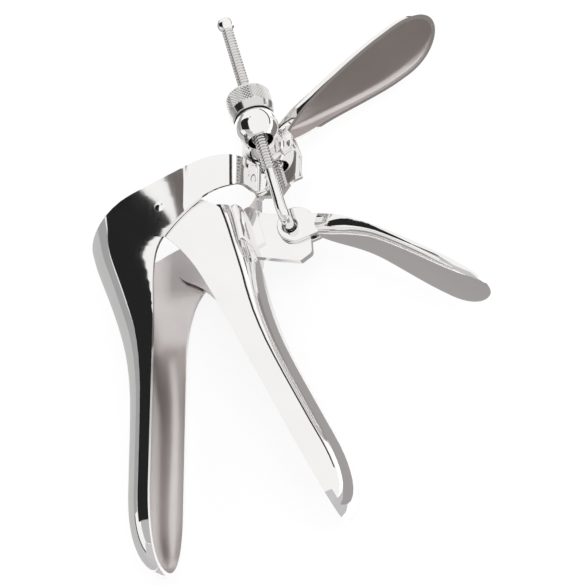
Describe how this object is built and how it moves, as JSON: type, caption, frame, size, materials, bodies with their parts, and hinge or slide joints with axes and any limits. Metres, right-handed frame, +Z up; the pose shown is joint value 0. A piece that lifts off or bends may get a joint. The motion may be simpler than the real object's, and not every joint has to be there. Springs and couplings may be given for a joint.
{
  "type": "bivalve speculum",
  "caption": "Bivalve speculum with two rounded steel blades hinged at a mouth ring, two spoon handles and a side screw with a knurled nut that sets the opening.",
  "frame": {"origin": "on the pivot axis of the two valves, on the outer face of the far ear, which is the face the instrument rests on when it is laid on its side", "axes": "+X along the left valve towards its tip, +Y from the left valve towards the right valve and the handles, +Z up along the pivot axis"},
  "size_m": [0.1664, 0.1142, 0.0379],
  "materials": {
    "polished": "mirror polished",
    "satin": "satin"
  },
  "bodies": {
    "left_body": {"left_valve": "polished", "screw_plate": "satin", "upper_handle": "polished", "strap_rivet": "satin", "upper_handle_front_rivet": "satin", "upper_handle_rear_rivet": "satin", "near_pivot_rivet": "satin", "far_pivot_rivet": "satin", "swivel_base": "polished"},
    "right_body": {"right_valve": "polished", "lever_plate": "satin", "near_plate_foot": "satin", "far_plate_foot": "satin", "lower_handle": "polished"},
    "swivel": {"swivel_ball": "polished", "stem_washer": "satin"},
    "screw": {"adjusting_screw": "polished", "screw_stop_ball": "polished", "hook_washer": "satin"},
    "nut": {"knurled_nut": "polished"}
  },
  "joints": [
    {"name": "blade_opening", "type": "hinge", "parent": "left_body", "child": "right_body", "pos_m": [0, 0, 0.01895], "axis": [0, 0, 1], "range_deg": [-28.5, 10]},
    {"name": "swivel_turn", "type": "hinge", "parent": "left_body", "child": "swivel", "pos_m": [-0.027, 0.025, 0.01895], "axis": [0, 0, 1], "range_deg": [-11.5, 4.1]},
    {"name": "screw_travel", "type": "slide", "parent": "swivel", "child": "screw", "axis": [-0.9666, -0.2563, 0], "range_m": [-0.0151, 0.0053]},
    {"name": "nut_spin", "type": "hinge", "parent": "swivel", "child": "nut", "pos_m": [-0.027, 0.025, 0.02795], "axis": [-0.9666, -0.2563, 0], "range_deg": [-1900, 5420]}
  ],
  "couplings": [
    {"joint": "swivel_turn", "follows": "blade_opening", "ratio": 0.395},
    {"joint": "screw_travel", "follows": "blade_opening", "m_per_rad": 0.0298},
    {"joint": "nut_spin", "follows": "blade_opening", "ratio": -187.24}
  ]
}
